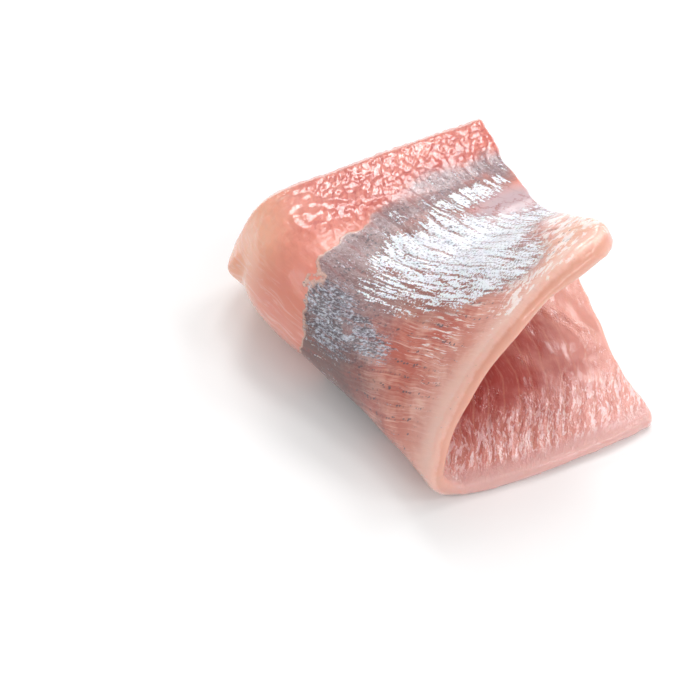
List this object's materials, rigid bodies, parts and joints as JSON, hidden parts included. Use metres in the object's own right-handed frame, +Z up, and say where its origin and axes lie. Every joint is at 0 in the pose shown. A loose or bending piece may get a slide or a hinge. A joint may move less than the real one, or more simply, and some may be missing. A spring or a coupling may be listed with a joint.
{
  "type": "herring fillet",
  "caption": "Raw skin-on herring fillet, folded once across its length with the skin outside, lying on its lower flap while the thin belly edge arches open.",
  "frame": {"origin": "middle of the bounding box, on the underside that rests on the table", "axes": "+X from the fold to the cut ends, +Y from the belly edge to the back edge, +Z up"},
  "size_m": [0.0586, 0.065, 0.0403],
  "materials": {
    "fish_flesh": "gloss"
  },
  "bodies": {
    "root": {"herring_fillet": "fish_flesh"}
  },
  "joints": []
}
